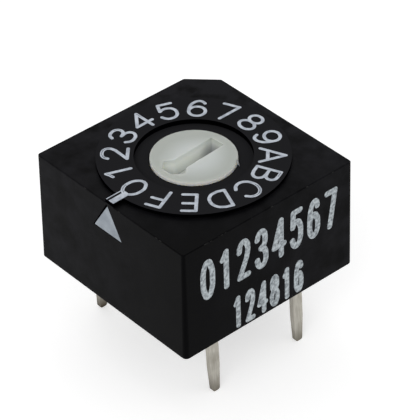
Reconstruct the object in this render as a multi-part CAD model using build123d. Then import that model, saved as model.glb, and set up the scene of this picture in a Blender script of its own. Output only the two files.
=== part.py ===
from build123d import *
from math import atan2, cos, degrees, radians, sin, sqrt, tan
import os

# Sixteen position rotary DIP switch, screwdriver set, real hexadecimal code.
# Millimetres. +Z is up, away from the board. The origin is the middle of the
# case's underside, on the board. The arrow points to -X at position 0, and each
# further position is one step clockwise seen from above.

# Case
case_width = 10.0
case_draft = 0.75
corner_cut = 1.28
corner_radius = 0.22
top_edge_radius = 0.05
wall = 0.70
ledge = 0.20
core_radius = 0.60
core_depth = 1.50

# Layers from the board upwards; the case is as high as their sum
seal_recess = 0.15
seal_thickness = 0.60
base_thickness = 0.80
contact_space = 0.78
code_plate_thickness = 0.25
conductor_thickness = 0.10
flange_thickness = 1.30
axial_play = 0.05
roof_thickness = 1.07

# Raised legend ring, its pointer tab and the sunk index triangle
legend_margin = 0.59
legend_gap = 0.67
legend_rise = 0.18
legend_recess = 0.07
tab_width = 0.52
tab_turn = 1.15
triangle_width = 1.94
triangle_height = 1.60
triangle_depth = 0.05
triangle_drop = 0.07
triangle_offset = 0.10

# Rotor
neck_radius = 1.96
neck_clearance = 0.03
neck_proud = 0.12
neck_edge_radius = 0.07
flange_radius = 3.35
flange_clearance = 0.10
pivot_radius = 0.50
pivot_clearance = 0.04
pivot_depth = 0.45
boss_wall = 0.28
boss_flat = 0.16

# Screwdriver slot, an arrow that points to the set position, give or take the
# detent's play
slot_tip_rim = 0.30
slot_tail_rim = 0.48
slot_width = 0.80
slot_depth = 0.90
arrow_length = 0.81
arrow_barb = 0.46
arrow_width = 1.38
arrow_tip_width = 0.60
slot_tip_radius = 0.12
slot_root_radius = 0.25
slot_corner_radius = 0.05
slot_turn = 3.5

# Shaft seal
o_ring_section = 0.53
o_ring_clearance = 0.02

# Detent: two sprung balls in the flange run over sixteen flutes of the case
positions = 16
ball_radius = 0.40
ball_clearance = 0.02
detent_engagement = 0.06
flute_clearance = 0.04
flute_radius = 0.90
bore_floor_wall = 0.62
spring_wire_radius = 0.045
spring_side_gap = 0.035
spring_turns = 4.5

# Code plate under the rotor: one ring of contacts for each terminal
track_width = 0.34
track_rim = 0.18
track_break = 3.0
plate_gap = 0.02

# Terminals, stamped from strip
row_inset = 0.49
pin_pitch = 2.54
pin_width = 0.56
strip_thickness = 0.25
pin_length = 3.78
pin_taper = 1.40
pin_tip_width = 0.38
pin_tip_radius = 0.12
bend_radius = 0.10
head_width = 0.92
head_length = 1.20
front_row_splay = 3.3
back_row_splay = 1.5

# Contact springs, welded on the terminals' heads
blade_thickness = 0.08
blade_width = 0.38
blade_slit = 0.08
blade_pad_radius = 0.40
blade_tip_length = 0.22
blade_tip_drop = 0.14
blade_gap = 0.02

seat_gap = 0.02
base_clearance = 0.05

# Terminals from -X to +X on the +Y and the -Y side, one pitch apart. "c" is the
# common, the others are named by their weight in the code, "" is an empty place
back_row = ("1", "c", "4")
front_row = ("2", "", "8")

# Rings of the code plate from the middle outwards, and the angle at which each
# one's contact spring touches it
code_rings = ("c", "8", "4", "2", "1")
contact_angles = {"1": 160, "c": 90, "4": 40, "2": 212, "8": -50}

# Heights that follow from the layers
z_base = seal_recess + seal_thickness
z_base_top = z_base + base_thickness
z_plate = z_base_top + contact_space
z_conductor = z_plate + code_plate_thickness
z_flange = z_conductor + conductor_thickness
z_flange_top = z_flange + flange_thickness
z_cavity_top = z_flange_top + axial_play
z_gland_top = z_cavity_top + o_ring_section + 3 * o_ring_clearance
case_height = z_gland_top + roof_thickness
z_bore = z_flange + flange_thickness / 2

# Radii and half widths that follow
half = case_width / 2
top_half = half - case_height * tan(radians(case_draft))
pocket_half = half - wall
space_half = pocket_half - ledge
row_y = pocket_half - row_inset
bore_radius = neck_radius + neck_clearance
gland_radius = neck_radius + o_ring_section + 2 * o_ring_clearance
cavity_radius = flange_radius + flange_clearance
legend_outer = top_half - legend_margin
legend_inner = bore_radius + legend_gap
pivot_hole_radius = pivot_radius + pivot_clearance
boss_radius = pivot_hole_radius + boss_wall
ball_bore_radius = ball_radius + ball_clearance
ball_reach = cavity_radius + detent_engagement
ball_place = ball_reach - ball_radius
flute_floor = ball_reach + flute_clearance
bore_floor = pivot_hole_radius + bore_floor_wall
ring_inner = boss_radius + track_rim + track_width / 2
ring_outer = flange_radius - track_rim - track_width / 2
ring_step = (ring_outer - ring_inner) / (len(code_rings) - 1)
step_angle = 360 / positions


def terminals():
    """Name of each terminal, its place along its row in pitches, and its side."""
    for side, row in ((1, back_row), (-1, front_row)):
        for place, name in enumerate(row):
            if name:
                yield name, place - len(row) // 2, side


def cylinder(radius, low, high, x=0, y=0):
    """Upright round bar between two heights."""
    return Pos(x, y, low) * extrude(Circle(radius), amount=high - low)


def block(x0, x1, y0, y1, z0, z1):
    """Square bar between its corners."""
    middle = Pos((x0 + x1) / 2, (y0 + y1) / 2, (z0 + z1) / 2)
    return middle * Box(abs(x1 - x0), abs(y1 - y0), abs(z1 - z0))


def outline(half_width, radius):
    """Square with the index corner cut off parallel to the case's own cut."""
    inset = half - half_width
    cut = corner_cut - inset * (2 - sqrt(2))
    square = Rectangle(2 * half_width, 2 * half_width)
    corner = square.vertices().sort_by(lambda v: v.X + v.Y)[-1]
    shape = chamfer(corner, cut)
    return fillet(shape.vertices(), radius)


def slab(half_width, low, high, radius=corner_radius):
    """Prism of the case's outline, for the spaces inside and what fills them."""
    return Pos(0, 0, low) * extrude(outline(half_width, radius), amount=high - low)


# Case: a drafted block, cored from below in steps

def drafted(height):
    """Outside of the case up to a height, narrowing with its draft."""
    return extrude(outline(half, corner_radius), amount=height, taper=case_draft)


def case_shell():
    """Drafted outside with its top edge eased."""
    body = drafted(case_height)
    rim = body.faces().sort_by(Axis.Z)[-1].edges()
    return fillet(rim, top_edge_radius)


def legend_relief():
    """Raised ring that carries the digits, and the tab that points at position 0."""
    flat = Circle(legend_outer) - Circle(legend_inner)
    ring = Pos(0, 0, case_height) * extrude(flat, amount=legend_rise)
    inward = -(legend_outer + legend_inner) / 2
    side = tab_width / 2
    low = case_height - 2 * top_edge_radius
    bar = block(-half, inward, -side, side, low, case_height + legend_rise)
    tab = drafted(case_height + legend_rise) & (Rot(0, 0, tab_turn) * bar)
    return ring + tab


def detent_cavity():
    """Round space for the rotor's flange with one flute for each position."""
    space = cylinder(cavity_radius, z_plate, z_cavity_top)
    flute = cylinder(flute_radius, z_plate, z_cavity_top, flute_floor - flute_radius)
    flutes = [Rot(0, 0, n * step_angle) * flute for n in range(positions)]
    return space + flutes


def corner_cores():
    """Blind holes that keep the corners as thin as the walls."""
    reach = space_half - core_radius
    cut = corner_cut - (half - space_half) * (2 - sqrt(2))
    cut_reach = space_half - cut / 2 - core_radius / sqrt(2)
    places = [(-reach, -reach), (reach, -reach), (-reach, reach), (cut_reach, cut_reach)]
    return [cylinder(core_radius, z_plate, z_plate + core_depth, x, y) for x, y in places]


def index_triangle():
    """Shallow sunk triangle on the -X face, its point at the top edge."""
    slope = radians(case_draft)
    face = Plane(
        origin=(-top_half, 0, case_height),
        x_dir=(0, -1, 0),
        z_dir=(-cos(slope), 0, sin(slope)),
    )
    foot = -triangle_drop - triangle_height
    side = triangle_width / 2
    mark = Polygon((0, -triangle_drop), (-side, foot), (side, foot), align=None)
    mark = Pos(-triangle_offset, 0, 0) * mark
    return extrude(face * mark, amount=triangle_depth, both=True)


def build_case():
    """Moulded case with every space in it."""
    case = case_shell() + legend_relief()
    case -= slab(pocket_half, 0, z_base_top)
    case -= slab(space_half, z_base_top, z_plate)
    case -= detent_cavity()
    case -= corner_cores()
    case -= cylinder(gland_radius, z_cavity_top, z_gland_top)
    case -= cylinder(bore_radius, z_gland_top, case_height + legend_rise)
    case -= cylinder(legend_inner, case_height - legend_recess, case_height + legend_rise)
    case -= index_triangle()
    return case


# Rotor and what turns with it

def slot_outline():
    """Arrow seen from above: stem towards +X, blunt point towards -X."""
    tip = slot_tip_rim - neck_radius
    tail = neck_radius - slot_tail_rim
    barb = tip + arrow_barb
    root = tip + arrow_length
    upper = [
        (tip, arrow_tip_width / 2),
        (barb, arrow_width / 2),
        (root, slot_width / 2),
        (tail, slot_width / 2),
    ]
    lower = [(x, -y) for x, y in reversed(upper)]
    arrow = Polygon(*(upper + lower), align=None)
    for x, radius in (
        (tip, slot_tip_radius),
        (barb, slot_corner_radius),
        (root, slot_root_radius),
        (tail, slot_corner_radius),
    ):
        corners = arrow.vertices().filter_by(lambda v: abs(v.X - x) < 1e-6)
        arrow = fillet(corners, radius)
    return arrow


def key_shape(radius):
    """Round with two flats, so that the code plate turns with the rotor."""
    return Circle(radius) & Rectangle(2 * radius, 2 * (radius - boss_flat))


def build_rotor():
    """White rotor: slotted neck, detent flange and keyed boss."""
    top = case_height + neck_proud
    neck = cylinder(neck_radius, z_flange_top, top)
    neck = fillet(neck.edges().sort_by(Axis.Z)[-1], neck_edge_radius)
    rotor = neck + cylinder(flange_radius, z_flange, z_flange_top)
    rotor += Pos(0, 0, z_plate) * extrude(key_shape(boss_radius), amount=z_flange - z_plate)
    slot = extrude(slot_outline(), amount=slot_depth, dir=(0, 0, -1))
    rotor -= Pos(0, 0, top) * Rot(0, 0, slot_turn) * slot
    rotor -= cylinder(pivot_hole_radius, z_plate, z_flange + pivot_depth)
    for side in (1, -1):
        rotor -= ball_bore(side)
    return rotor


def ball_bore(side):
    """Blind radial hole in the flange for one ball and its spring."""
    start = Plane(origin=(0, side * bore_floor, z_bore), z_dir=(0, side, 0))
    return extrude(start * Circle(ball_bore_radius), amount=flange_radius)


def build_ball(side):
    """Steel ball that rests in a flute."""
    return Pos(0, side * ball_place, z_bore) * Sphere(ball_radius)


def build_spring(side):
    """Coil spring between the floor of its hole and the ball."""
    mean = ball_bore_radius - spring_side_gap - spring_wire_radius
    reach = ball_radius + spring_wire_radius
    far = ball_place - sqrt(reach**2 - mean**2)
    near = bore_floor + spring_wire_radius
    length = far - near
    path = Helix(pitch=length / spring_turns, height=length, radius=mean)
    wire = Plane(origin=path @ 0, z_dir=path % 0) * Circle(spring_wire_radius)
    coil = sweep(wire, path=path)
    return Plane(origin=(0, side * near, z_bore), z_dir=(0, side, 0)) * coil


def ring_radius(name):
    """Middle of the ring of the code plate that belongs to one terminal."""
    return ring_inner + code_rings.index(name) * ring_step


def sector(radius, start, end):
    """Piece of a ring between two angles, as a flat shape."""
    outer = radius + track_width / 2
    inner = radius - track_width / 2
    first = CenterArc((0, 0), outer, start, end - start)
    second = CenterArc((0, 0), inner, start, end - start)
    sides = [Line(first @ 0, second @ 0), Line(first @ 1, second @ 1)]
    return make_face([first, second] + sides)


def code_runs(weight):
    """Runs of neighbouring positions in which the code has this weight."""
    runs = []
    for n in range(positions):
        if not n & weight:
            continue
        if runs and runs[-1][1] == n - 1:
            runs[-1][1] = n
        else:
            runs.append([n, n])
    return runs


def contact_areas():
    """Common ring and the coded sectors, each turned to its own contact."""
    common = Circle(ring_radius("c") + track_width / 2)
    areas = [common - key_shape(boss_radius + plate_gap)]
    for name in ("1", "2", "4", "8"):
        for first, last in code_runs(int(name)):
            start = contact_angles[name] + (first - 0.5) * step_angle + track_break
            end = contact_angles[name] + (last + 0.5) * step_angle - track_break
            areas.append(sector(ring_radius(name), start, end))
    return areas


def build_conductor(areas):
    """Stamped conductor: a thin disc whose raised areas are the contacts."""
    disc = Circle(flange_radius - plate_gap) - key_shape(boss_radius + plate_gap)
    plate = Pos(0, 0, z_conductor) * extrude(disc, amount=conductor_thickness)
    raised = [Pos(0, 0, z_plate) * extrude(a, amount=code_plate_thickness) for a in areas]
    return plate + raised


def build_code_plate(areas):
    """Insulating plate moulded round the conductor's contact areas."""
    disc = Circle(flange_radius - plate_gap) - key_shape(boss_radius + plate_gap)
    plate = Pos(0, 0, z_plate) * extrude(disc, amount=code_plate_thickness)
    return plate - [Pos(0, 0, z_plate) * extrude(a, amount=code_plate_thickness) for a in areas]


def build_o_ring():
    """Rubber ring between the neck and its gland in the case."""
    major = neck_radius + o_ring_clearance + o_ring_section / 2
    height = z_cavity_top + (z_gland_top - z_cavity_top) / 2
    return Pos(0, 0, height) * Torus(major, o_ring_section / 2)


# Base, terminals and contact springs

def strip_profile(splay):
    """Side view of one terminal: head, bend, pin and its splay below the seal."""
    outer = row_y + strip_thickness / 2
    inner = row_y - strip_thickness / 2
    head_end = outer - head_length
    drift = (pin_length + seal_recess) * tan(radians(splay))
    line = [
        (head_end, z_base_top),
        (outer, z_base_top),
        (outer, seal_recess),
        (outer + drift, -pin_length),
        (inner + drift, -pin_length),
        (inner, seal_recess),
        (inner, z_base_top - strip_thickness),
        (head_end, z_base_top - strip_thickness),
    ]
    face = Polygon(*line, align=None)
    bend = face.vertices().sort_by_distance((outer, z_base_top))[0]
    face = fillet(bend, bend_radius + strip_thickness)
    inside = face.vertices().sort_by_distance((inner, z_base_top - strip_thickness))[0]
    return fillet(inside, bend_radius)


def pin_outline():
    """Front view of a terminal: as wide as the pin, and drawn in to its tip."""
    side = pin_width / 2
    tip = pin_tip_width / 2
    shoulder = pin_taper - pin_length
    right = [(side, z_base_top), (side, shoulder), (tip, -pin_length)]
    left = [(-x, z) for x, z in reversed(right)]
    return Polygon(*(right + left), align=None)


def head_block(gap):
    """Broad part of a terminal's head, or with a gap the seat for it."""
    outer = row_y + strip_thickness / 2
    inward = outer - head_length
    reach = head_width / 2 + gap
    low = z_base_top - strip_thickness
    knee = row_y - strip_thickness / 2 - bend_radius
    return block(-reach, reach, inward - gap, knee, low, z_base_top)


def build_terminal(pitches, side):
    """One terminal, its head sunk level with the base's top."""
    splay = front_row_splay if side < 0 else back_row_splay
    upright = Plane(origin=(0, 0, 0), x_dir=(0, 1, 0), z_dir=(1, 0, 0))
    strip = extrude(upright * strip_profile(splay), amount=pin_width / 2, both=True)
    front = Plane(origin=(0, 0, 0), x_dir=(1, 0, 0), z_dir=(0, -1, 0))
    strip &= extrude(front * pin_outline(), amount=half, both=True)
    tip = strip.faces().sort_by(Axis.Z)[0].edges().filter_by(Axis.Y)
    strip = fillet(tip, pin_tip_radius)
    terminal = strip + head_block(0)
    if side < 0:
        terminal = mirror(terminal, about=Plane.XZ)
    return Pos(pitches * pin_pitch, 0, 0) * terminal


def pin_passage(pitches, side, low, high, gap):
    """Square hole for one pin."""
    x = pitches * pin_pitch
    y = side * row_y
    reach_x = pin_width / 2 + gap
    reach_y = strip_thickness / 2 + gap
    return block(x - reach_x, x + reach_x, y - reach_y, y + reach_y, low, high)


def head_seat(pitches, side):
    """Recess in the base for one terminal's head and bend."""
    outer = row_y + strip_thickness / 2
    knee = row_y - strip_thickness / 2 - bend_radius
    reach = pin_width / 2 + seat_gap
    low = z_base_top - strip_thickness
    seat = head_block(seat_gap)
    seat += block(-reach, reach, knee, outer + seat_gap, low - bend_radius, z_base_top)
    if side < 0:
        seat = mirror(seat, about=Plane.XZ)
    return Pos(pitches * pin_pitch, 0, 0) * seat


def build_base():
    """Moulded base: plate, thrust seat and pivot for the rotor, terminal seats."""
    base = slab(pocket_half - base_clearance, z_base, z_base_top)
    base += cylinder(boss_radius, z_base_top, z_plate - axial_play)
    base += cylinder(pivot_radius, z_base_top, z_flange + pivot_depth - axial_play)
    for _, pitches, side in terminals():
        base -= pin_passage(pitches, side, z_base, z_base_top, seat_gap)
        base -= head_seat(pitches, side)
    return base


def build_seal():
    """Potting resin that closes the underside round the pins."""
    seal = slab(pocket_half, seal_recess, z_base)
    for _, pitches, side in terminals():
        seal -= pin_passage(pitches, side, seal_recess, z_base, 0)
    return seal


def build_contact(name, pitches, side):
    """Split contact spring from a terminal's head to its ring of the code plate."""
    head_end = row_y + strip_thickness / 2 - head_length
    pad = (pitches * pin_pitch, side * (head_end + blade_pad_radius + seat_gap))
    radius = ring_radius(name)
    angle = radians(contact_angles[name])
    point = (radius * cos(angle), radius * sin(angle))
    across, along = point[0] - pad[0], point[1] - pad[1]
    reach = sqrt(across**2 + along**2)
    rise = contact_space - blade_gap - blade_thickness
    under = [
        (0, 0),
        (blade_pad_radius, 0),
        (reach, rise),
        (reach + blade_tip_length, rise - blade_tip_drop),
    ]
    over = [(u, z + blade_thickness) for u, z in reversed(under)]
    upright = Plane(origin=(0, 0, 0), x_dir=(1, 0, 0), z_dir=(0, -1, 0))
    profile = upright * Polygon(*(under + over), align=None)
    blade = extrude(profile, amount=blade_width / 2, both=True)
    end = reach + 2 * blade_tip_length
    slit = blade_slit / 2
    blade -= block(2 * blade_pad_radius, end, -slit, slit, -rise, 2 * rise)
    blade += cylinder(blade_pad_radius, 0, blade_thickness)
    turn = Rot(0, 0, degrees(atan2(along, across)))
    return Pos(pad[0], pad[1], z_base_top) * (turn * blade)


# Everything, one file for each piece

def build_all():
    """Every piece of the switch by name."""
    areas = contact_areas()
    pieces = {
        "case": build_case(),
        "base": build_base(),
        "potting_seal": build_seal(),
        "o_ring": build_o_ring(),
        "rotor": build_rotor(),
        "code_plate": build_code_plate(areas),
        "code_conductor": build_conductor(areas),
        "detent_ball_py": build_ball(1),
        "detent_ball_ny": build_ball(-1),
        "detent_spring_py": build_spring(1),
        "detent_spring_ny": build_spring(-1),
    }
    for name, pitches, side in terminals():
        pieces["terminal_" + name] = build_terminal(pitches, side)
        pieces["contact_spring_" + name] = build_contact(name, pitches, side)
    return pieces


os.makedirs("parts", exist_ok=True)
for name, piece in build_all().items():
    export_step(piece, "parts/" + name + ".step")
    print(name, round(piece.volume, 4))
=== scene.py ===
# %% [markdown]
# # A sixteen position rotary DIP switch
#
# The real thing is a sealed block for a circuit board, ten millimetres square: a black
# moulded case, a white rotor that a screwdriver turns, and five tinned legs. The
# engineering model already gives every piece its true size, so this lesson keeps those
# solids, dresses them in materials, and adds what a size drawing leaves out: the stamped
# digits, the paint in the index mark, the printed numbers on the side and a sliver of
# moulding flash.
#
# The first cell loads the solids as a fixed frame. Nothing in it is moved later.

# %% Load the frame
from math import cos, radians, sin, tan

import bmesh
import bpy
from mathutils import Matrix, Vector


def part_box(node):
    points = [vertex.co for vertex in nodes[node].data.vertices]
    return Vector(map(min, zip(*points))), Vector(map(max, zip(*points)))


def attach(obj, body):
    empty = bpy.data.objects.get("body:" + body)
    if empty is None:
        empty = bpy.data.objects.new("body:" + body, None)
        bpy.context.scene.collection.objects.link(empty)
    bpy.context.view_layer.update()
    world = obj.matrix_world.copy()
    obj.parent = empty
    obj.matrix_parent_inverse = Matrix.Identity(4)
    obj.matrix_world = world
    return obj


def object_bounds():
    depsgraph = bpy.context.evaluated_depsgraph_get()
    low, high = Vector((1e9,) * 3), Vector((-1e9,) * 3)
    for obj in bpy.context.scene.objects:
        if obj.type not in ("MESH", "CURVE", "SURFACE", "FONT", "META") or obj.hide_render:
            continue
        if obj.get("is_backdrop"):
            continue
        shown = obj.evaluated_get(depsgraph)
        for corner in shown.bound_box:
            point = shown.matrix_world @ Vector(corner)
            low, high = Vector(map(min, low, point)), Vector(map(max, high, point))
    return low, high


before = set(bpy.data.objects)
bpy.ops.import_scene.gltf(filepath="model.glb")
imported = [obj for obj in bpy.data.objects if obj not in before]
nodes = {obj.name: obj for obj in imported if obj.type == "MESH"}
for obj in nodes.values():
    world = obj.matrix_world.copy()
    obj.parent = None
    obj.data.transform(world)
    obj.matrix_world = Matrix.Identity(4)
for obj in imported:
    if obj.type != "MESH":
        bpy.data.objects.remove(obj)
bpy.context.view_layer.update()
print("pieces of the frame:", len(nodes))

# %% [markdown]
# ## Sizes that the new pieces need
#
# Prints and paint lie on faces of the solids, so they need a few of the drawing's
# sizes again. They are in millimetres, because that is how one thinks about a part
# this small. Blender works in metres, so every new mesh is built in millimetres round
# the origin, where its numbers are easy to read, and scaled once when it is placed.

# %% Sizes in millimetres
MM = 0.001
case_half = 5.0
case_height = 5.69
case_draft = radians(0.75)
legend_rise = 0.18
legend_radius = 3.49
ring_bore = 2.7
legend_turn = 1.15
positions = 16
triangle_box = (-4.915, -1.1, 3.9), (-4.7, 1.1, 5.66)
rotor_top = 5.81
rotor_radius = 1.96
leg_row = 3.81
board_gap = 3.78

top_half = case_half - case_height * tan(case_draft)
print("half width of the case at its top:", round(top_half, 3), "mm")

# %% [markdown]
# ## Colours
#
# Colours are written as the hex codes that a paint chip or a web page would use. Those
# are sRGB values, and a shader wants linear ones, so one function does the sum.

# %% Hex colour to linear
def colour(code):
    """Linear RGBA of an sRGB hex code."""
    channels = [int(code[i:i + 2], 16) / 255 for i in (1, 3, 5)]
    return [c / 12.92 if c <= 0.04045 else ((c + 0.055) / 1.055) ** 2.4 for c in channels] + [1.0]


print("mid grey #808080 is", round(colour("#808080")[0], 3), "in linear light")

# %% [markdown]
# ## Building materials
#
# A material is a small graph of nodes. Three helpers keep the graphs short: one starts a
# material and sets the main shader's own sockets, one adds any node with its settings
# and its links, and one feeds the finished outputs to the main shader.

# %% Material helpers
def start_material(name, **sockets):
    """New material; the keywords set sockets of its Principled shader."""
    material = bpy.data.materials.new(name)
    material.use_nodes = True
    shader = material.node_tree.nodes["Principled BSDF"]
    for socket, value in sockets.items():
        shader.inputs[socket.replace("_", " ")].default_value = value
    return material, material.node_tree, shader


def add(tree, kind, inputs, **settings):
    """Adds a node. Each input is a value, or the output that feeds it."""
    node = tree.nodes.new(kind)
    for name, value in settings.items():
        setattr(node, name, value)
    for name, value in inputs.items():
        if isinstance(value, bpy.types.NodeSocket):
            tree.links.new(value, node.inputs[name])
        else:
            node.inputs[name].default_value = value
    return node


def feed(tree, shader, **outputs):
    """Links outputs to the main shader; each keyword names a socket."""
    for socket, output in outputs.items():
        tree.links.new(output, shader.inputs[socket.replace("_", " ")])


# %% [markdown]
# ## Shorthands for numbers and vectors
#
# A few kinds of node come up again and again, so each gets a function that returns its
# output. `ramp` is the workhorse: a Map Range node that turns any number into a mask or
# into a range of roughness, and holds its end values beyond the two limits.

# %% Coordinates, numbers and vectors
def place_of(tree):
    """Object coordinates."""
    return add(tree, "ShaderNodeTexCoord", {}).outputs["Object"]


def parts_of(tree, vector):
    """The X, Y and Z of a vector."""
    return tuple(add(tree, "ShaderNodeSeparateXYZ", {"Vector": vector}).outputs)


def calc(tree, operation, first, second):
    """Output of a Math node."""
    return add(tree, "ShaderNodeMath", {0: first, 1: second}, operation=operation).outputs[0]


def vector_calc(tree, operation, first, second=(0, 0, 0)):
    """Output of a Vector Math node, a number where the operation gives one."""
    node = add(tree, "ShaderNodeVectorMath", {0: first, 1: second}, operation=operation)
    return node.outputs["Value" if operation in ("LENGTH", "DISTANCE", "DOT_PRODUCT") else "Vector"]


def radius_of(tree, place):
    """Distance from the Z axis."""
    return vector_calc(tree, "LENGTH", vector_calc(tree, "MULTIPLY", place, (1, 1, 0)))


def ramp(tree, value, low, high, start=0.0, end=1.0):
    """Goes from start to end while the value goes from low to high."""
    return add(tree, "ShaderNodeMapRange", {
        "Value": value, "From Min": low, "From Max": high, "To Min": start, "To Max": end}).outputs[0]


# %% [markdown]
# ## Shorthands for patterns and colours
#
# Patterns read Object coordinates, which are metres here, so a texture's scale is one
# over the size of its grain: `per(0.07)` is a grain of 0.07 mm. A Mix node that blends
# colours has its two colours at inputs 6 and 7 and the result at output 2.

# %% Patterns, colours and bumps
def per(size_mm):
    """Texture scale at which one grain is this many millimetres."""
    return 1000 / size_mm


def noise(tree, place, grain_mm, detail):
    """Noise with a grain of this many millimetres."""
    inputs = {"Vector": place, "Scale": per(grain_mm), "Detail": detail}
    return add(tree, "ShaderNodeTexNoise", inputs).outputs["Fac"]


def mix(tree, factor, first, second):
    """Blend of two colours, each a hex code or the output that feeds it."""
    first, second = (colour(c) if isinstance(c, str) else c for c in (first, second))
    node = add(tree, "ShaderNodeMix", {"Factor": factor, 6: first, 7: second}, data_type="RGBA")
    return node.outputs[2]


def bump(tree, height, strength, depth_mm, **inputs):
    """Normal of a surface with a grain so many millimetres deep."""
    return add(tree, "ShaderNodeBump", {
        "Height": height, "Strength": strength, "Distance": depth_mm * MM, **inputs}).outputs[0]


print("a grain of 0.07 mm has the texture scale", round(per(0.07)))

# %% [markdown]
# ## Masks for the case
#
# The upright walls of the raised ring and the inside of the sunk triangle are painted
# near black as painted shade, and they show no highlight. The ring's level faces, and the
# floor of the recess round the rotor, are dull, and their lighter grey is painted light.
# The rounded top edges catch knocks. All three follow from where a point lies and how it
# faces, so masks can find them.

# %% Masks
just_above = 0.01


def within(tree, place, low, high):
    """Mask of a box between two corners in millimetres."""
    middle = [(a + b) / 2 * MM for a, b in zip(low, high)]
    reach = [(b - a) / 2 * MM for a, b in zip(low, high)]
    share = vector_calc(tree, "DIVIDE", vector_calc(tree, "SUBTRACT", place, middle), reach)
    x, y, z = parts_of(tree, vector_calc(tree, "ABSOLUTE", share))
    return calc(tree, "LESS_THAN", calc(tree, "MAXIMUM", calc(tree, "MAXIMUM", x, y), z), 1.0)


def face_masks(tree, place):
    """Masks of the walls for painted shade, of the ring's level faces for painted light, and of rounded top
    edges.
    """
    inside = calc(tree, "LESS_THAN", radius_of(tree, place), ring_bore * MM)
    above = calc(tree, "GREATER_THAN", parts_of(tree, place)[2], (case_height + just_above) * MM)
    ring = calc(tree, "MAXIMUM", inside, above)
    # The Z of a normal is 1 on a level face and 0 on an upright one
    normal = add(tree, "ShaderNodeNewGeometry", {}).outputs["Normal"]
    level = ramp(tree, parts_of(tree, normal)[2], 0.3, 0.7)
    steep = calc(tree, "SUBTRACT", 1.0, level)
    # The sunk triangle's recess, floor and walls, takes the painted shade too
    triangle = within(tree, place, *triangle_box)
    walls = calc(tree, "MAXIMUM", calc(tree, "MULTIPLY", ring, steep), triangle)
    return walls, calc(tree, "MULTIPLY", ring, level), calc(tree, "MULTIPLY", level, steep)


print("the ring starts", ring_bore, "mm from the middle and", case_height, "mm above the board")

# %% [markdown]
# ## Black moulded case
#
# The case is glass filled PBT from a mould whose faces were spark eroded. That leaves a
# skin that is nearly black, mottled, and covered in a grain of a few hundredths of a
# millimetre which breaks up its reflections. Handling leaves pale specks and small nicks
# on the edges. The mottling is painted paler towards one corner, the back one, as painted
# light. A flat black would look like a hole in the picture, so all of these come in:
# mottling, painted light, specks and nicks in the colour, slow change in the roughness,
# and grain in the bump.

# %% Material: black PBT
back_corner_reach, back_corner_peak = 9, 2.0
mottle_low, mottle_high = 0.32, 0.68
speck_cell, speck_radius, speck_above = 0.75, 0.045, 0.86
nick_strength, nick_above = 4.0, 0.65


def black_pbt(name, dark, light, gloss):
    """Spark textured moulding with a knocked, dust specked skin and painted light that grows towards the back
    corner.
    """
    material, tree, shader = start_material(name)
    place = place_of(tree)
    walls, levels, rounded = face_masks(tree, place)

    # Patchy mottling, painted lighter along a diagonal towards the back corner as painted light
    along = vector_calc(tree, "DOT_PRODUCT", place, (1, 1, 0))
    back_corner_light = ramp(tree, along, -back_corner_reach * MM, back_corner_reach * MM, 0.0, back_corner_peak)
    mottle = ramp(tree, noise(tree, place, grain_mm=0.9, detail=4.0), mottle_low, mottle_high)
    skin = mix(tree, calc(tree, "MULTIPLY", back_corner_light, mottle), dark, light)

    # A speck is the middle of a Voronoi cell, in the few cells whose random colour is high
    cells = add(tree, "ShaderNodeTexVoronoi", {"Vector": place, "Scale": per(speck_cell)}).outputs
    chance = add(tree, "ShaderNodeSeparateColor", {"Color": cells["Color"]}).outputs["Red"]
    near = calc(tree, "LESS_THAN", cells["Distance"], speck_radius)
    specks = calc(tree, "MULTIPLY", near, calc(tree, "GREATER_THAN", chance, speck_above))

    # Nicks are where a fine noise peaks on a rounded edge
    knocks = calc(tree, "GREATER_THAN", noise(tree, place, grain_mm=0.3, detail=3.0), nick_above)
    nicks = calc(tree, "MULTIPLY", calc(tree, "MULTIPLY", rounded, nick_strength), knocks)
    # Specks and nicks are wear; the ring's level faces get painted light and the walls painted shade
    for mask, code in ((specks, "#5a5a58"), (nicks, "#40403e"), (levels, "#242426"), (walls, "#020203")):
        skin = mix(tree, mask, skin, code)

    ring = calc(tree, "MAXIMUM", walls, levels)
    patches = noise(tree, place, grain_mm=2.0, detail=3.0)
    grain = noise(tree, place, grain_mm=0.07, detail=2.0)
    feed(tree, shader, Base_Color=skin,
         Specular_IOR_Level=ramp(tree, ring, 0, 1, gloss, 0.0),
         Roughness=ramp(tree, patches, 0, 1, 0.34, 0.5),
         Normal=bump(tree, grain, strength=0.5, depth_mm=0.004))
    return material


case_plastic = black_pbt("black_pbt_spark_textured", "#040405", "#1b1b1e", 0.025)
base_plastic = black_pbt("black_pbt_inner_moulding", "#18181a", "#202023", 0.3)
print("made", case_plastic.name, "and", base_plastic.name)

# %% [markdown]
# ## White rotor
#
# The rotor is a natural acetal: white, a little translucent, satin. Light goes some
# tenths of a millimetre into it, which is why the slot in the real one has soft, pale
# shadows and no black corners. Subsurface scattering does part of that. The rest is
# painted light and shade: the walls of the slot and the rim are painted paler than the
# top face, and painted shade darkens the depth of the slot and its blind end. The top
# face itself is paler in its middle and darker towards its border. A Bevel node rounds
# the look of the slot's edges, which a mould never leaves razor sharp.

# %% Material: white acetal
rotor_plastic, tree, shader = start_material(
    "white_acetal_moulded",
    Subsurface_Weight=1.0,
    Subsurface_Radius=(1.0, 0.95, 0.85),
    Subsurface_Scale=0.5 * MM,
    Specular_IOR_Level=0.3,
)
place = place_of(tree)
height = parts_of(tree, place)[2]
pale_middle = Vector((-0.1, -0.12, rotor_top)) * MM
blind_end = Vector((1.45, 0.1, rotor_top - 0.8)) * MM
drift_mm = 0.6


def below_top(near, far):
    """Mask that grows with depth below the rotor's top, in millimetres."""
    return ramp(tree, height, (rotor_top - near) * MM, (rotor_top - far) * MM)


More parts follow.
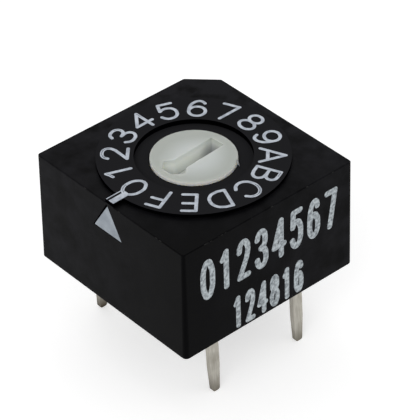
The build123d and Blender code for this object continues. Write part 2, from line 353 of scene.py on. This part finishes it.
# The top face is darker away from its middle, with an uneven border
clouds = noise(tree, place, grain_mm=1.4, detail=3.0)
drift = calc(tree, "MULTIPLY", calc(tree, "SUBTRACT", clouds, 0.5), drift_mm * MM)
away = calc(tree, "ADD", vector_calc(tree, "DISTANCE", place, pale_middle), drift)
tone = mix(tree, ramp(tree, away, 0.7 * MM, 1.6 * MM), "#cdd2d0", "#b6bbb5")

# Over it lie painted light on everything below the top face, painted shade deep in the
# slot and at its blind end, and painted light on the rim
end_shade = ramp(tree, vector_calc(tree, "DISTANCE", place, blind_end), 0.2 * MM, 0.9 * MM, 0.75, 0.0)
rim = ramp(tree, radius_of(tree, place), (rotor_radius - 0.2) * MM, (rotor_radius - 0.1) * MM)
for mask, code in (
    (below_top(0.02, 0.3), "#f0f3ee"),
    (calc(tree, "MULTIPLY", below_top(0.5, 0.9), 0.3), "#a9acaa"),
    (calc(tree, "MULTIPLY", below_top(0.1, 0.3), end_shade), "#85878a"),
    (calc(tree, "MULTIPLY", below_top(0.01, 0.08), rim), "#fffff2"),
):
    tone = mix(tree, mask, tone, code)

grain = noise(tree, place, grain_mm=0.09, detail=2.0)
soft_edge = add(tree, "ShaderNodeBevel", {"Radius": 0.06 * MM}, samples=6).outputs[0]
feed(tree, shader, Base_Color=tone, Roughness=ramp(tree, grain, 0, 1, 0.4, 0.55),
     Normal=bump(tree, grain, strength=0.3, depth_mm=0.003, Normal=soft_edge))
print("made", rotor_plastic.name)

# %% [markdown]
# ## White ink and foil
#
# Three whites are laid on the black: foil hot stamped on the raised legend, paint
# wiped into the sunk index mark, and ink pad printed on the side. All are thin, dull
# and a little uneven, because they cover a grained surface. One graph serves for the
# three, with its own colours and its own amount of thin places.

# %% Material: white print
def white_print(name, full, thin, patch_mm, bare):
    """Opaque print whose cover thins out in places."""
    material, tree, shader = start_material(name, Specular_IOR_Level=0.25)
    place = place_of(tree)
    cover = ramp(tree, noise(tree, place, patch_mm, detail=4.0), 0.35 - bare, 0.62)
    grain = noise(tree, place, grain_mm=0.06, detail=2.0)
    feed(tree, shader, Base_Color=mix(tree, cover, thin, full),
         Roughness=ramp(tree, grain, 0, 1, 0.5, 0.7),
         Normal=bump(tree, grain, strength=0.4, depth_mm=0.004))
    return material


stamp_foil = white_print("white_hot_stamped_foil", "#ccd3dd", "#a9b0bb", patch_mm=0.25, bare=0.0)
mark_paint = white_print("white_wiped_paint", "#aab2ba", "#959da6", patch_mm=0.6, bare=0.0)
pad_ink = white_print("white_pad_printed_ink", "#cad3d7", "#747a80", patch_mm=0.15, bare=0.03)
print("made", stamp_foil.name, mark_paint.name, pad_ink.name)

# %% [markdown]
# ## Tinned terminals
#
# The legs are stamped from brass strip and barrel plated in matt tin. Tin is a soft
# grey metal with blurred reflections, and the drawing and stamping leave lines along
# the strip. A noise that is squeezed across the leg and stretched along it gives those
# lines, both as a slight change of tone and as a fine bump. The tips were sheared off
# after plating, so the brown of the brass shows at their ends. The brown that spreads a
# millimetre up the legs, most on the row at the back under the case, is painted shade.

# %% Material: matt tin plate
tin, tree, shader = start_material("matt_tin_plated_brass", Metallic=1.0)
place = place_of(tree)
_, y, z = parts_of(tree, place)
stretched = add(tree, "ShaderNodeMapping", {"Vector": place, "Scale": (1.0, 1.0, 0.06)}).outputs[0]
lines = noise(tree, stretched, grain_mm=0.05, detail=3.0)
clouds = noise(tree, place, grain_mm=0.8, detail=4.0)
tone = mix(tree, ramp(tree, calc(tree, "MULTIPLY", lines, clouds), 0.12, 0.4), "#98948a", "#bcb9b0")
# Brown towards the tips: sheared brass at the very ends, painted shade up the legs, strongest on the back row
tips = ramp(tree, z, (0.1 - board_gap) * MM, (1.1 - board_gap) * MM, 1.0, 0.0)
back_row = ramp(tree, y, -MM, MM, 0.6, 1.0)
feed(tree, shader, Base_Color=mix(tree, calc(tree, "MULTIPLY", tips, back_row), tone, "#4f473b"),
     Roughness=ramp(tree, clouds, 0, 1, 0.36, 0.56),
     Normal=bump(tree, lines, strength=0.35, depth_mm=0.004))
print("made", tin.name)

# %% [markdown]
# ## Materials of the inner pieces
#
# The pieces inside are seen when the part is opened or used as an exploded drawing:
# potting resin, rubber ring, moulded code plate, gold plated springs, steel balls and
# their coils. Each is a short graph of the same three parts, tone, roughness and bump,
# so one function makes them all from what differs: two tones, metal or not, two
# roughnesses, the size of the grain and its height in millimetres.

# %% Materials: inner pieces
def plain_finish(name, dark, light, metal, rough, grain_mm, height_mm):
    """Two tones, a range of roughness and a grain of a given size."""
    material, tree, shader = start_material(name, Metallic=metal)
    place = place_of(tree)
    wide = noise(tree, place, 8 * grain_mm, detail=3.0)
    fine = noise(tree, place, grain_mm, detail=2.0)
    feed(tree, shader, Base_Color=mix(tree, wide, dark, light),
         Roughness=ramp(tree, wide, 0, 1, *rough),
         Normal=bump(tree, fine, strength=0.4, depth_mm=height_mm))
    return material


# Cast epoxy settles into a glossy skin with slow waves
resin = plain_finish("black_epoxy_cast", "#0e0d0c", "#171512", 0.0, (0.16, 0.3), 0.35, 0.02)
# Nitrile rubber is matt, with fine mould texture
rubber = plain_finish("nitrile_rubber_moulded", "#121212", "#1d1d1c", 0.0, (0.6, 0.8), 0.05, 0.004)
# The code plate is a brown glass filled phenolic
phenolic = plain_finish("phenolic_moulded", "#6b5137", "#7d6144", 0.0, (0.45, 0.6), 0.08, 0.005)
# Thin gold over nickel on phosphor bronze stays bright
gold = plain_finish("gold_plated_phosphor_bronze", "#d6ad58", "#e6c274", 1.0, (0.2, 0.32), 0.06, 0.002)
# Hardened balls are lapped to a mirror
ball_steel = plain_finish("bearing_steel_lapped", "#b9babb", "#c9cacb", 1.0, (0.06, 0.12), 0.05, 0.0005)
# Spring wire keeps the drawn, slightly dull skin
wire_steel = plain_finish("stainless_wire_drawn", "#8f8f8d", "#a9a9a6", 1.0, (0.28, 0.4), 0.04, 0.002)
print("materials so far:", len(bpy.data.materials))

# %% [markdown]
# ## Give every solid its material
#
# A solid of the frame keeps its mesh and its place. Only the material in its slots
# changes. The names start alike where pieces repeat, so one table of name beginnings
# covers all of them.

# %% Assign the materials
finishes = {
    "case": case_plastic, "base": base_plastic, "potting_seal": resin, "o_ring": rubber,
    "rotor": rotor_plastic, "code_plate": phenolic, "code_conductor": gold,
    "detent_ball": ball_steel, "detent_spring": wire_steel, "terminal": tin, "contact_spring": gold,
}
for name, node in nodes.items():
    finish = next(finishes[start] for start in finishes if name.startswith(start))
    node.data.materials.clear()
    node.data.materials.append(finish)
print("dressed", len(nodes), "solids in", len(set(finishes.values())), "finishes")

# %% [markdown]
# ## From a mesh in millimetres to a piece
#
# Every new piece goes the same last steps: turn its faces outwards; scale it to metres
# and move it to its place inside the mesh, so that its object stays at the origin; keep
# hard edges hard; take a material; ride on a body of the frame.

# %% Finishing a piece
sharp_degrees = 40


def mesh_of(bm):
    """Mesh of a bmesh, with normals outward."""
    bmesh.ops.recalc_face_normals(bm, faces=bm.faces)
    mesh = bpy.data.meshes.new("shape")
    bm.to_mesh(mesh)
    bm.free()
    return mesh


def make_piece(name, mesh, place, material, body):
    """Object for a mesh in millimetres, set at its place on a body."""
    mesh.transform(Matrix.Scale(MM, 4) @ place)
    mesh.name = name
    mesh.materials.append(material)
    mesh.shade_smooth()
    mesh.set_sharp_from_angle(angle=radians(sharp_degrees))
    piece = bpy.data.objects.new(name, mesh)
    bpy.context.scene.collection.objects.link(piece)
    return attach(piece, body)


print("edges over", sharp_degrees, "degrees stay hard")

# %% [markdown]
# ## How the characters are drawn
#
# The legend is a rounded sans serif of even stroke. A font would bring its own feet and
# contrast, so the characters are drawn the way an engraver does, as centre lines that a
# round pen follows. Each is a few strokes in a box from -1 to 1. A stroke is straight
# between its points ("line"), smooth through them ("arc") or smooth and closed ("loop").

# %% Centre lines of the characters
def oval(x, y, width, height):
    """Eight points round an ellipse."""
    return [(x + width * sin(radians(45 * i)), y + height * cos(radians(45 * i))) for i in range(8)]


STROKES = {
    "0": [("loop", oval(0, 0, 0.75, 1))],
    "1": [("line", [(0.07, 1), (0.07, -1)]), ("arc", [(0.07, 1), (-0.18, 0.8), (-0.5, 0.62)])],
    "2": [
        ("arc", [(-0.72, 0.5), (-0.52, 0.86), (0, 1), (0.5, 0.84), (0.66, 0.44), (0.42, -0.02)]),
        ("line", [(0.42, -0.02), (-0.7, -1), (0.68, -1)]),
    ],
    "3": [
        ("arc", [(-0.68, 0.62), (-0.42, 0.92), (0, 1), (0.44, 0.86), (0.6, 0.52), (0.42, 0.18),
                 (-0.1, 0.06)]),
        ("arc", [(-0.1, 0.06), (0.46, -0.1), (0.7, -0.48), (0.48, -0.87), (0, -1), (-0.45, -0.9),
                 (-0.72, -0.58)]),
    ],
    "4": [("line", [(0.34, -1), (0.34, 1), (-0.82, -0.42), (0.8, -0.42)])],
    "5": [
        ("line", [(0.62, 1), (-0.52, 1), (-0.6, 0.16)]),
        ("arc", [(-0.6, 0.16), (-0.28, 0.36), (0.12, 0.4), (0.55, 0.18), (0.7, -0.3), (0.5, -0.8),
                 (0, -1), (-0.45, -0.88), (-0.7, -0.6)]),
    ],
    "6": [
        ("loop", oval(0, -0.38, 0.69, 0.62)),
        ("arc", [(-0.69, -0.38), (-0.64, 0.16), (-0.4, 0.7), (0.08, 1), (0.4, 0.94), (0.62, 0.68)]),
    ],
    "7": [("line", [(-0.66, 1), (0.72, 1), (-0.16, -1)])],
    "8": [("loop", oval(0, 0.52, 0.6, 0.48)), ("loop", oval(0, -0.48, 0.72, 0.52))],
    "9": [
        ("loop", oval(0, 0.38, 0.69, 0.62)),
        ("arc", [(0.69, 0.38), (0.64, -0.16), (0.4, -0.7), (-0.08, -1), (-0.4, -0.94), (-0.62, -0.68)]),
    ],
    "A": [("line", [(-0.9, -1), (0, 1), (0.9, -1)]), ("line", [(-0.63, -0.4), (0.63, -0.4)])],
    "B": [
        ("line", [(0, 1), (-0.6, 1), (-0.6, -1), (0.1, -1)]),
        ("arc", [(0, 1), (0.48, 0.9), (0.66, 0.54), (0.48, 0.18), (0, 0.06)]),
        ("line", [(-0.6, 0.06), (0.1, 0.06)]),
        ("arc", [(0.1, 0.06), (0.62, -0.1), (0.82, -0.47), (0.62, -0.86), (0.1, -1)]),
    ],
    "C": [("arc", [(0.76, 0.55), (0.45, 0.88), (0, 1), (-0.5, 0.8), (-0.8, 0.28), (-0.8, -0.28),
                   (-0.5, -0.8), (0, -1), (0.48, -0.88), (0.8, -0.55)])],
    "D": [
        ("line", [(0, 1), (-0.62, 1), (-0.62, -1), (0, -1)]),
        ("arc", [(0, 1), (0.62, 0.74), (0.94, 0), (0.62, -0.74), (0, -1)]),
    ],
    "E": [("line", [(0.6, 1), (-0.5, 1), (-0.5, -1), (0.6, -1)]), ("line", [(-0.5, 0.08), (0.55, 0.08)])],
    "F": [("line", [(0.66, 1), (-0.5, 1), (-0.5, -1)]), ("line", [(-0.5, 0.08), (0.6, 0.08)])],
}
print("characters drawn:", "".join(STROKES))

# %% [markdown]
# ## From centre lines to bars
#
# A stroke becomes a Bezier curve with a round bevel, which is the pen's path as a solid
# bar. Balls on its open ends give the pen's round start and stop, and on its corners
# they round the turn.

# %% Bars of a stroke
ball_share = 0.497


def bar_along(points, closed, thickness):
    """Round bar along a smooth line, as a mesh object."""
    curve = bpy.data.curves.new("stroke", "CURVE")
    curve.dimensions = "3D"
    curve.bevel_depth = thickness / 2
    curve.bevel_resolution = 2
    curve.resolution_u = 5
    curve.use_fill_caps = True
    spline = curve.splines.new("BEZIER")
    spline.bezier_points.add(len(points) - 1)
    spline.use_cyclic_u = closed
    for knot, (x, y) in zip(spline.bezier_points, points):
        knot.co = (x, y, 0)
        knot.handle_left_type = knot.handle_right_type = "AUTO"
    holder = bpy.data.objects.new("stroke", curve)
    mesh = bpy.data.meshes.new_from_object(holder)
    bpy.data.objects.remove(holder)
    bpy.data.curves.remove(curve)
    return bpy.data.objects.new("bar", mesh)


def ball_at(x, y, thickness):
    """Ball a hair thinner than the bars, so that no two surfaces coincide."""
    bm = bmesh.new()
    spot = Matrix.Translation((x, y, 0))
    bmesh.ops.create_uvsphere(bm, u_segments=16, v_segments=8, radius=thickness * ball_share, matrix=spot)
    return bpy.data.objects.new("ball", mesh_of(bm))


def stroke_bars(points, kind, thickness):
    """Bars of one stroke, with balls on its ends and corners."""
    runs = list(zip(points, points[1:])) if kind == "line" else [points]
    bars = [bar_along(run, kind == "loop", thickness) for run in runs]
    turns = {"line": points, "arc": (points[0], points[-1]), "loop": ()}[kind]
    return bars + [ball_at(x, y, thickness) for x, y in turns]


print("a ball is", round(200 * ball_share, 1), "% as thick as its bar")

# %% [markdown]
# ## From bars to raised print
#
# A Boolean union melts the bars of one character into a single skin, so that crossings
# leave nothing inside. It minds crossings within one bar too, because a narrow loop
# touches itself. The skin is then squashed to the thickness of the foil and its lower
# half is pressed flat, which leaves a low crowned print with a level underside and no
# open seam.

# %% Relief of a character
def melted(bars):
    """One mesh from bars that overlap."""
    group = bpy.data.collections.new("bars")
    bpy.context.scene.collection.children.link(group)
    first, others = bars[0], bars[1:]
    bpy.context.scene.collection.objects.link(first)
    for other in others:
        group.objects.link(other)
    union = first.modifiers.new("Union", "BOOLEAN")
    union.operation = "UNION"
    union.solver = "EXACT"
    union.use_self = True
    union.operand_type = "COLLECTION"
    union.collection = group
    graph = bpy.context.evaluated_depsgraph_get()
    mesh = bpy.data.meshes.new_from_object(first.evaluated_get(graph))
    for used in bars:
        bpy.data.objects.remove(used)
    bpy.data.collections.remove(group)
    return mesh


def relief(strokes, width, height, thickness, rise):
    """Mesh of strokes as a low print round the origin, in millimetres."""
    bars = []
    for kind, points in strokes:
        bars += stroke_bars([(x * width / 2, y * height / 2) for x, y in points], kind, thickness)
    bm = bmesh.new()
    bm.from_mesh(melted(bars))
    bmesh.ops.scale(bm, vec=(1, 1, 2 * rise / thickness), verts=bm.verts)
    for vertex in bm.verts:
        vertex.co.z = max(vertex.co.z, 0.0)
    return mesh_of(bm)


# %% [markdown]
# ## The dial's sixteen digits
#
# The digits run clockwise from 0, which faces the index mark, with their heads outward.
# The whole legend of the real part is printed about one degree off square. The print
# is sunk two microns into the ring, so that no light can pass under it.
#
# The stamp is worn. On the heads of some digits the foil did not take along the middle
# of the stroke, and a dark hairline of bare plastic shows. Each is a thin relief of its
# own, drawn over the foil along part of the same centre line.

# %% Dial digits
digit_height, digit_width = 1.14, 1.09
stroke_width, hairline = 0.168, 0.034
foil_rise = 0.012
bite = 0.002
BARE = {
    "0": [(0.1, 1), (0.52, 0.72), (0.73, 0.25)],
    "1": [(0.07, 0.97), (-0.18, 0.8), (-0.5, 0.62)],
    "2": [(-0.66, 0.62), (-0.5, 0.87), (0, 1), (0.49, 0.85), (0.65, 0.45)],
    "3": [(0.3, 0.93), (0.56, 0.7), (0.58, 0.42)],
    "4": [(0.34, 0.95), (0.34, 0.5)],
    "B": [(-0.5, 1), (0.05, 1)],
    "C": [(-0.82, -0.1), (-0.8, 0.28), (-0.5, 0.8), (0, 1), (0.42, 0.9)],
}

for position, glyph in enumerate("0123456789ABCDEF"):
    angle = radians(180 + legend_turn - position * 360 / positions)
    spot = Vector((legend_radius * cos(angle), legend_radius * sin(angle), case_height + legend_rise - bite))
    place = Matrix.Translation(spot) @ Matrix.Rotation(angle - radians(90), 4, "Z")
    mesh = relief(STROKES[glyph], digit_width, digit_height, stroke_width, foil_rise)
    make_piece("dial_digit_" + glyph, mesh, place, stamp_foil, "switch_body")
    if glyph in BARE:
        mesh = relief([("arc", BARE[glyph])], digit_width, digit_height, hairline, foil_rise + 2 * bite)
        make_piece("bare_line_" + glyph, mesh, place, case_plastic, "switch_body")
print("stamped", positions, "digits, each", round(digit_height + stroke_width, 2), "mm high")

# %% [markdown]
# ## Faces of the case as drawing planes
#
# The sides lean in by the mould's draft, so a print on them leans too. A matrix with
# the face's own right, up and outward directions as its columns carries a flat drawing
# onto that face.

# %% Planes of the side faces
def face_plane(right, out, height):
    """Matrix from a flat drawing to a leaning side face, at a height on its middle."""
    out = Vector(out)
    lean = (out * cos(case_draft) + Vector((0, 0, 1)) * sin(case_draft)).normalized()
    up = lean.cross(Vector(right)).normalized()
    spot = out * (case_half - height * tan(case_draft)) + Vector((0, 0, height))
    columns = Matrix((Vector(right), up, lean)).transposed().to_4x4()
    return Matrix.Translation(spot) @ columns


index_face = face_plane((0, -1, 0), (-1, 0, 0), case_height)
print_face = face_plane((1, 0, 0), (0, -1, 0), 0)
print("outward direction of the index face:", [round(v, 3) for v in index_face.col[2][:3]])

# %% [markdown]
# ## Paint in the index triangle
#
# A sunk triangle on the side marks position 0. White paint was wiped into it, so the
# paint lies a little below the face and keeps clear of the recess's own walls, most of
# all at the apex and on the left. It starts as three points, is extruded to its
# thickness, and its upper edges are bevelled as paint that drew back while drying.

# %% Index paint
triangle_half, triangle_foot, triangle_drop, triangle_depth = 0.97, 1.67, 0.07, 0.05
triangle_offset = 0.10
apex_gap, left_gap, right_gap, foot_gap, apex_shift = 0.12, 0.07, 0.056, 0.02, 0.03
paint_depth, paint_round = 0.042, 0.02

bm = bmesh.new()
foot = -triangle_foot + foot_gap
corners = [(apex_shift, -triangle_drop - apex_gap), (-triangle_half + left_gap, foot),
           (triangle_half - right_gap, foot)]
floor_face = bm.faces.new([bm.verts.new((x, y, -triangle_depth)) for x, y in corners])
raised = bmesh.ops.extrude_face_region(bm, geom=[floor_face])["geom"]
top_corners = [v for v in raised if isinstance(v, bmesh.types.BMVert)]
bmesh.ops.translate(bm, vec=(0, 0, paint_depth), verts=top_corners)
top_edges = [e for e in bm.edges if all(v.co.z > -triangle_depth + paint_depth / 2 for v in e.verts)]
bmesh.ops.bevel(bm, geom=top_edges, offset=paint_round, segments=3, profile=0.5, affect="EDGES", material=-1)
place = index_face @ Matrix.Translation((-triangle_offset, 0, 0))
make_piece("index_mark_paint", mesh_of(bm), place, mark_paint, "switch_body")
print("the paint lies", round(triangle_depth - paint_depth, 3), "mm below the face")

# %% [markdown]
# ## Foil on the pointer tab
#
# The tab that joins the ring to the edge of the case carries a stripe of the same foil.
# The stamp hit it slightly off, so a narrow dark line runs near one side, with a hair
# of foil beyond it. Both stripes start as cubes, which are scaled and get their upper
# edges bevelled.

# %% Pointer stripes
tab_start, edge_gap = 3.95, 0.03
tab_end = top_half - edge_gap


def stripe(name, low, high):
    """Foil along the tab, between two distances from its middle line."""
    bm = bmesh.new()
    bmesh.ops.create_cube(bm, size=1)
    bmesh.ops.scale(bm, vec=(tab_end - tab_start, high - low, foil_rise + bite), verts=bm.verts)
    middle = (-(tab_start + tab_end) / 2, (low + high) / 2, (foil_rise - bite) / 2)
    bmesh.ops.translate(bm, vec=middle, verts=bm.verts)
    upper = [e for e in bm.edges if all(v.co.z > 0 for v in e.verts)]
    bmesh.ops.bevel(bm, geom=upper, offset=foil_rise / 2, segments=2, profile=0.5, affect="EDGES", material=-1)
    turn = Matrix.Rotation(radians(legend_turn), 4, "Z")
    place = Matrix.Translation((0, 0, case_height + legend_rise)) @ turn
    make_piece(name, mesh_of(bm), place, stamp_foil, "switch_body")
    print(name, "is", round(high - low, 3), "mm wide")


stripe("pointer_foil", -0.24, 0.065)
stripe("pointer_foil_edge", 0.195, 0.245)

# %% [markdown]
# ## Numbers on the side
#
# The side towards the viewer carries two lines of plain numbers: the first half of the
# dial's positions, and under them the weights of the code's contacts with the number of
# positions. They are pad printed, so the strokes are broad and their ink is mottled by
# the grain below. They are drawn with the same pen as the dial, only taller and bolder.

# %% Side numbers
ink_rise = 0.015


def print_line(name, text, first, step, middle, width, height, thickness):
    """One line of evenly spaced numbers across the face."""
    for number, glyph in enumerate(text):
        place = print_face @ Matrix.Translation((first + number * step, middle, -bite))
        mesh = relief(STROKES[glyph], width, height, thickness, ink_rise)
        make_piece(name + "_" + str(number), mesh, place, pad_ink, "switch_body")
    print("printed", len(text), "numbers,", round(height + thickness, 2), "mm high")


print_line("position_number", "01234567",
           first=-3.6, step=1.035, middle=3.72, width=0.71, height=1.87, thickness=0.32)
print_line("weight_number", "124816",
           first=-1.93, step=0.725, middle=0.99, width=0.46, height=1.52, thickness=0.28)

# %% [markdown]
# ## A sliver of flash on the rotor
#
# Where the mould's halves met, a thin flake of plastic stands off the rotor's rim. It is
# tiny, but it is the kind of flaw that makes a part look made. A cone, squashed flat and
# laid from the rim outwards, does for it, and it rides on the rotor so that it turns
# with it.

# %% Rotor flash
root, tip = Vector((1.17, -1.50, rotor_top - 0.035)), Vector((0.99, -1.92, rotor_top - 0.05))
length = (tip - root).length
root_radius, tip_radius, flatness = 0.075, 0.014, 0.3

bm = bmesh.new()
bmesh.ops.create_cone(bm, segments=12, radius1=root_radius, radius2=tip_radius, depth=length, cap_ends=True)
bmesh.ops.scale(bm, vec=(flatness, 1, 1), verts=bm.verts)
place = Matrix.Translation((root + tip) / 2) @ (tip - root).to_track_quat("Z", "X").to_matrix().to_4x4()
make_piece("rotor_flash", mesh_of(bm), place, rotor_plastic, "rotor_group")
print("the flash is", round(length, 2), "mm long")

# %% [markdown]
# ## Resin that creeps up the legs
#
# The underside is closed with resin, which wets each leg and dries in a small ramp round
# it. A short cone that widens towards the resin gives the ramp. It is squashed a little
# to follow the flat leg, and its lower edge is bevelled, because resin leaves no sharp
# rim.

# %% Resin ramps
foot_radius, top_radius, ramp_height = 0.28, 0.56, 0.14
ramp_drop, ramp_round, squash = 0.05, 0.05, (1.15, 0.8, 1)
seal_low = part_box("potting_seal")[0].z / MM
for name in nodes:
    if not name.startswith("terminal"):
        continue
    low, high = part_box(name)
    x = (low.x + high.x) / 2 / MM
    y = leg_row if high.y > 0 else -leg_row
    bm = bmesh.new()
    bmesh.ops.create_cone(
        bm, segments=24, radius1=foot_radius, radius2=top_radius, depth=ramp_height, cap_ends=True)
    bmesh.ops.scale(bm, vec=squash, verts=bm.verts)
    lower = [e for e in bm.edges if all(v.co.z < 0 for v in e.verts)]
    bmesh.ops.bevel(bm, geom=lower, offset=ramp_round, segments=3, profile=0.5, affect="EDGES", material=-1)
    place = Matrix.Translation((x, y, seal_low - ramp_drop))
    make_piece("resin_ramp_" + name[-1], mesh_of(bm), place, resin, "switch_body")
print("resin starts", round(seal_low, 3), "mm above the board")

# %% [markdown]
# ## Floor
#
# The part stands on a plain white sheet. A white surface under soft light still renders
# as a light grey, so the sheet also glows a little for rays that come straight from the
# camera, a reflection or a clear body: Light Path tells those rays apart. The glow adds
# no light to the object, and the sheet's diffuse part keeps the soft shadow.

# %% White floor
floor_half, paper_glow = 3.0, 0.5


def background_rays(tree):
    """Mask of rays that show the background rather than light the object."""
    path = add(tree, "ShaderNodeLightPath", {}).outputs
    seen = calc(tree, "MAXIMUM", path["Is Camera Ray"], path["Is Glossy Ray"])
    return calc(tree, "MAXIMUM", seen, path["Is Transmission Ray"])


sheet, tree, shader = start_material(
    "white_paper_sweep", Base_Color=colour("#e6e6e6"), Roughness=0.9, Specular_IOR_Level=0.1)
fibre = noise(tree, place_of(tree), grain_mm=0.4, detail=3.0)
feed(tree, shader, Normal=bump(tree, fibre, strength=0.2, depth_mm=0.02))
glow = add(tree, "ShaderNodeEmission", {"Strength": calc(tree, "MULTIPLY", background_rays(tree), paper_glow)})
total = add(tree, "ShaderNodeAddShader", {0: shader.outputs[0], 1: glow.outputs[0]})
tree.links.new(total.outputs[0], tree.nodes["Material Output"].inputs["Surface"])

bm = bmesh.new()
bmesh.ops.create_grid(bm, x_segments=1, y_segments=1, size=floor_half)
bmesh.ops.translate(bm, vec=(0, 0, -board_gap * MM), verts=bm.verts)
floor_mesh = bpy.data.meshes.new("floor")
bm.to_mesh(floor_mesh)
bm.free()
floor_mesh.materials.append(sheet)
floor = bpy.data.objects.new("floor", floor_mesh)
bpy.context.scene.collection.objects.link(floor)
floor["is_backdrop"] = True
print("floor at", -board_gap, "mm, under the tips of the legs")

# %% [markdown]
# ## Light
#
# An even white surrounding gives most of the light, as in a light tent. Three large
# lamps add shape: the strongest from the left and front, a weaker one from the right,
# and one from above and behind. Large lamps close by give soft shadow edges.

# %% World and lamps
tent_light, tent_seen = 0.6, 1.0
world = bpy.data.worlds.new("light_tent")
bpy.context.scene.world = world
world.use_nodes = True
tree = world.node_tree
background = tree.nodes["Background"]
background.inputs["Color"].default_value = (1, 1, 1, 1)
strength = ramp(tree, background_rays(tree), 0, 1, tent_light, tent_seen)
tree.links.new(strength, background.inputs["Strength"])


def soft_lamp(name, place_mm, size_mm, watts):
    """Square lamp that looks at the switch."""
    light = bpy.data.lights.new(name, "AREA")
    light.size = size_mm * MM
    light.energy = watts
    lamp = bpy.data.objects.new(name, light)
    lamp.location = Vector(place_mm) * MM
    lamp.rotation_euler = (-lamp.location).to_track_quat("-Z", "Y").to_euler()
    bpy.context.scene.collection.objects.link(lamp)
    print(name, "hangs", round(lamp.location.length / MM), "mm away")


soft_lamp("lamp_left", place_mm=(-220, -120, 180), size_mm=160, watts=0.22)
soft_lamp("lamp_right", place_mm=(200, -200, 120), size_mm=160, watts=0.05)
soft_lamp("lamp_back", place_mm=(60, 200, 240), size_mm=180, watts=0.08)

# %% [markdown]
# ## Camera
#
# The place, direction and focal length come from fitting a camera to the straight
# edges of the case in the photograph, with the case taken as ten millimetres wide. The
# three directions of the camera are the columns of its matrix.

# %% Camera
azimuth, elevation, roll = radians(-40.813), radians(37.773), radians(-1.203)
distance, offset_right, offset_up = 111.751, 0.619, 2.184
focal_px, picture_px = 2455.16, 420

back = Vector((sin(azimuth) * cos(elevation), -cos(azimuth) * cos(elevation), sin(elevation)))
level_right = Vector((cos(azimuth), sin(azimuth), 0))
level_up = back.cross(level_right)
right = cos(roll) * level_right + sin(roll) * level_up
up = -sin(roll) * level_right + cos(roll) * level_up
spot = (distance * back + offset_right * right + offset_up * up) * MM

view = bpy.data.cameras.new("camera")
view.sensor_width = 36
view.lens = focal_px / picture_px * view.sensor_width
view.clip_start, view.clip_end = 0.001, 20
camera = bpy.data.objects.new("camera", view)
camera.matrix_world = Matrix.Translation(spot) @ Matrix((right, up, back)).transposed().to_4x4()
bpy.context.scene.collection.objects.link(camera)
bpy.context.scene.camera = camera
bpy.context.scene.view_settings.view_transform = "Standard"
print("camera at", [round(v / MM, 2) for v in spot], "mm, lens", round(view.lens, 2), "mm")

# %% [markdown]
# ## The size of the dressed model
#
# The dressed model must be as large as the drawing says. Its box is printed in millimetres.

# %% Sizes and finish
low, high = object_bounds()
print("visual size in mm:", [round(v / MM, 3) for v in high - low])
